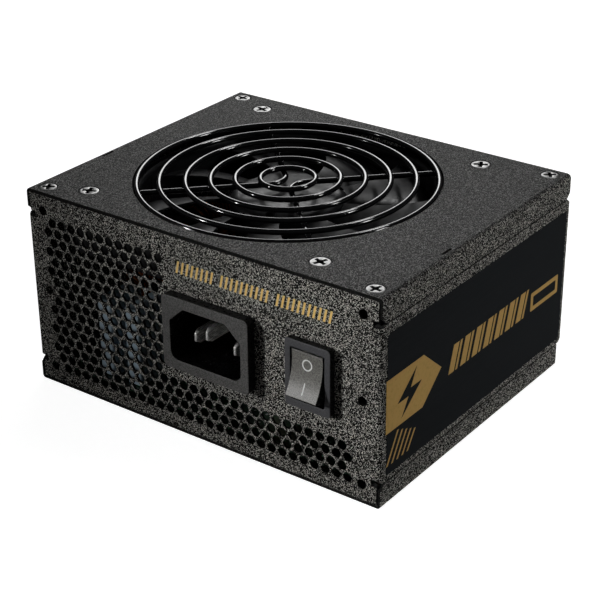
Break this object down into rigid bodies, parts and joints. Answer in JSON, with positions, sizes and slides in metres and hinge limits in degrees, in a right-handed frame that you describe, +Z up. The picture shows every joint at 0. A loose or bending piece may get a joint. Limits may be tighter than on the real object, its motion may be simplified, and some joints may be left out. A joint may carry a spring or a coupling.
{
  "type": "power supply unit",
  "caption": "Compact computer power supply in a folded steel case with a guarded top fan, a honeycomb vent, a mains inlet, a rocker switch and output sockets.",
  "frame": {"origin": "centre of the tray's underside, in the plane that the unit stands on", "axes": "+X across the unit towards the switch side, +Y from the mains panel to the output sockets, +Z up to the fan"},
  "size_m": [0.1254, 0.1061, 0.0637],
  "materials": {
    "black_steel": "black wrinkle powder coat",
    "black_wire": "gloss black coated wire",
    "bright_steel": "plated, satin",
    "black_plastic": "fine moulded texture",
    "switch_plastic": "satin moulded",
    "fan_plastic": "satin moulded",
    "brass": "turned",
    "copper": null,
    "ferrite": "matt pressed ferrite",
    "aluminium": "extruded, satin",
    "circuit_board": "solder resist",
    "yellow_tape": "polyester tape",
    "pale_blue_plastic": "moulded case",
    "capacitor_sleeve": "shrink sleeve",
    "clear_film": "thin insulating film",
    "brown_wire": "wire insulation",
    "blue_wire": "wire insulation",
    "green_wire": "wire insulation",
    "label_film": "matt printed film"
  },
  "bodies": {
    "case": {"chassis": "black_steel", "top_cover": "black_steel", "bottom_tray": "black_steel", "fan_guard": "black_wire", "cover_screw_1": "bright_steel", "cover_screw_2": "bright_steel", "cover_screw_3": "bright_steel", "cover_screw_4": "bright_steel", "fan_screw_1": "bright_steel", "fan_screw_2": "bright_steel", "fan_screw_3": "bright_steel", "fan_screw_4": "bright_steel", "tray_screw_1": "bright_steel", "tray_screw_2": "bright_steel", "tray_screw_3": "bright_steel", "tray_screw_4": "bright_steel", "inlet_pin_line": "bright_steel", "inlet_pin_neutral": "bright_steel", "inlet_pin_earth": "bright_steel", "inlet_housing": "black_plastic", "socket_mainboard": "black_plastic", "socket_processor": "black_plastic", "socket_graphics": "black_plastic", "socket_drives_1": "black_plastic", "socket_drives_2": "black_plastic", "bridge_rectifier": "black_plastic", "switch_housing": "switch_plastic", "fan_frame": "fan_plastic", "fan_bearing": "brass", "standoff_1": "brass", "standoff_2": "brass", "standoff_3": "brass", "standoff_4": "brass", "fan_stator": "copper", "filter_choke_winding": "copper", "boost_choke_winding": "copper", "filter_choke_core": "ferrite", "boost_choke_core": "ferrite", "transformer_core": "ferrite", "primary_heatsink": "aluminium", "secondary_heatsink": "aluminium", "main_board": "circuit_board", "output_board": "circuit_board", "transformer_winding": "yellow_tape", "standby_transformer": "yellow_tape", "film_capacitor_1": "pale_blue_plastic", "film_capacitor_2": "pale_blue_plastic", "bulk_capacitor": "capacitor_sleeve", "output_capacitor_1": "capacitor_sleeve", "output_capacitor_2": "capacitor_sleeve", "fan_lead": "capacitor_sleeve", "insulating_sheet": "clear_film", "inlet_lead_line": "brown_wire", "inlet_lead_neutral": "blue_wire", "inlet_lead_earth": "green_wire", "side_label": "label_film", "rating_label": "label_film"},
    "fan_rotor": {"fan_rotor": "fan_plastic", "fan_shaft": "bright_steel"},
    "switch_rocker": {"switch_rocker": "switch_plastic"}
  },
  "joints": [
    {"name": "fan_spin", "type": "hinge", "parent": "case", "child": "fan_rotor", "pos_m": [-0.0045, 0, 0.0542], "axis": [0, 0, 1], "continuous": true},
    {"name": "switch_rock", "type": "hinge", "parent": "case", "child": "switch_rocker", "pos_m": [0.0404, -0.0497, 0.0346], "axis": [1, 0, 0], "range_deg": [0, 29]}
  ]
}
